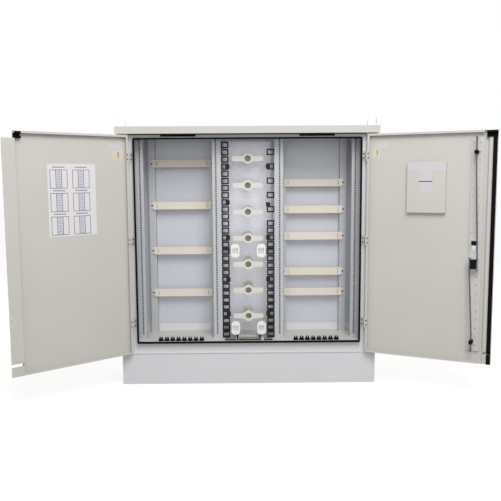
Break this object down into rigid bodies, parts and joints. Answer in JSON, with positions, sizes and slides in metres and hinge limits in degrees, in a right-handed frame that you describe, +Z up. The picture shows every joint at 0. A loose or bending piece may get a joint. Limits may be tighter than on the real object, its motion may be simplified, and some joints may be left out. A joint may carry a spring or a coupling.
{
  "type": "roadside utility cabinet",
  "caption": "Free-standing street cabinet with two hinged doors on a plinth, rack uprights, cable bars, slack spools and jumper rings inside, and a rod lock on the right door.",
  "frame": {"origin": "middle of the plinth's base, at the centre of its anchor holes", "axes": "+X to the right as seen from the doors, +Y from the doors to the back panel, +Z up; doors open at rest"},
  "size_m": [2.6603, 0.8052, 1.6279],
  "materials": {
    "cabinet_paint": "light grey powder coat",
    "galvanised_steel": "galvanised",
    "bar_paint": "cream powder coat",
    "spool_plastic": "cream moulding",
    "ring_plastic": "black moulding",
    "saddle_plastic": "white moulding",
    "seal_rubber": "black extruded rubber",
    "foam_rubber": "closed-cell foam",
    "pocket_paint": "light grey powder coat",
    "zinc_hardware": "zinc plated",
    "lever_metal": "black powder coat",
    "lock_chrome": "chrome plated"
  },
  "bodies": {
    "cabinet": {"plinth_frame": "cabinet_paint", "plinth_front_panel": "cabinet_paint", "front_frame": "cabinet_paint", "door_gasket": "seal_rubber", "side_panel_left": "cabinet_paint", "side_panel_right": "cabinet_paint", "back_panel": "cabinet_paint", "top_pan": "cabinet_paint", "floor_pan": "cabinet_paint", "cable_grommets": "seal_rubber", "roof_cover": "cabinet_paint", "lifting_lugs": "zinc_hardware", "hinge_frame_leaves": "cabinet_paint", "hinge_pins": "zinc_hardware", "hinge_frame_screws": "zinc_hardware", "front_upright_1": "galvanised_steel", "front_upright_2": "galvanised_steel", "front_upright_3": "galvanised_steel", "front_upright_4": "galvanised_steel", "rear_uprights": "galvanised_steel", "cross_bars_left": "bar_paint", "cross_bars_right": "bar_paint", "bar_screws": "zinc_hardware", "bay_plates": "galvanised_steel", "centre_plate": "galvanised_steel", "slack_spool_1": "spool_plastic", "slack_spool_2": "spool_plastic", "slack_spool_3": "spool_plastic", "slack_spool_4": "spool_plastic", "slack_spool_5": "spool_plastic", "slack_spool_6": "spool_plastic", "slack_spool_7": "spool_plastic", "jumper_rings": "ring_plastic", "cable_saddles": "saddle_plastic", "saddle_brackets": "galvanised_steel", "saddle_posts": "ring_plastic"},
    "left_door": {"left_door_panel": "cabinet_paint", "left_overlap_strip": "cabinet_paint", "left_foam_block": "foam_rubber", "left_hinge_leaves": "cabinet_paint", "left_hinge_screws": "zinc_hardware"},
    "right_door": {"right_door_panel": "cabinet_paint", "right_edge_seal": "seal_rubber", "right_foam_block": "foam_rubber", "right_hinge_leaves": "cabinet_paint", "right_hinge_screws": "zinc_hardware", "stiffener_channel": "cabinet_paint", "document_pocket": "pocket_paint", "lock_plate": "galvanised_steel", "gearbox_housing": "zinc_hardware", "gearbox_cover": "ring_plastic", "rod_guides": "ring_plastic", "handle_escutcheon": "ring_plastic", "key_cylinder": "lock_chrome", "handle_clamp": "ring_plastic"},
    "lock_handle": {"lever_handle": "lever_metal", "drive_pinion": "zinc_hardware"},
    "upper_lock_rod": {"upper_rod": "zinc_hardware"},
    "lower_lock_rod": {"lower_rod": "zinc_hardware"},
    "key_barrel": {"key_plug": "lock_chrome"}
  },
  "joints": [
    {"name": "left_door_hinge", "type": "hinge", "parent": "cabinet", "child": "left_door", "pos_m": [-0.709, -0.165, 0.89], "axis": [0, 0, 1], "range_deg": [-24, 140.7]},
    {"name": "right_door_hinge", "type": "hinge", "parent": "cabinet", "child": "right_door", "pos_m": [0.709, -0.165, 0.89], "axis": [0, 0, 1], "range_deg": [-155, 10]},
    {"name": "handle_turn", "type": "hinge", "parent": "right_door", "child": "lock_handle", "pos_m": [1.28311, -0.41506, 0.778], "axis": [-0.4226, -0.9063, 0], "range_deg": [0, 90]},
    {"name": "upper_rod_slide", "type": "slide", "parent": "right_door", "child": "upper_lock_rod", "axis": [0, 0, 1], "range_m": [0, 0.0252]},
    {"name": "lower_rod_slide", "type": "slide", "parent": "right_door", "child": "lower_lock_rod", "axis": [0, 0, -1], "range_m": [0, 0.0252]},
    {"name": "key_turn", "type": "hinge", "parent": "right_door", "child": "key_barrel", "pos_m": [1.28311, -0.41506, 0.871], "axis": [-0.4226, -0.9063, 0], "range_deg": [0, 90]}
  ],
  "couplings": [
    {"joint": "upper_rod_slide", "follows": "handle_turn", "m_per_rad": 0.016},
    {"joint": "lower_rod_slide", "follows": "handle_turn", "m_per_rad": 0.016}
  ]
}
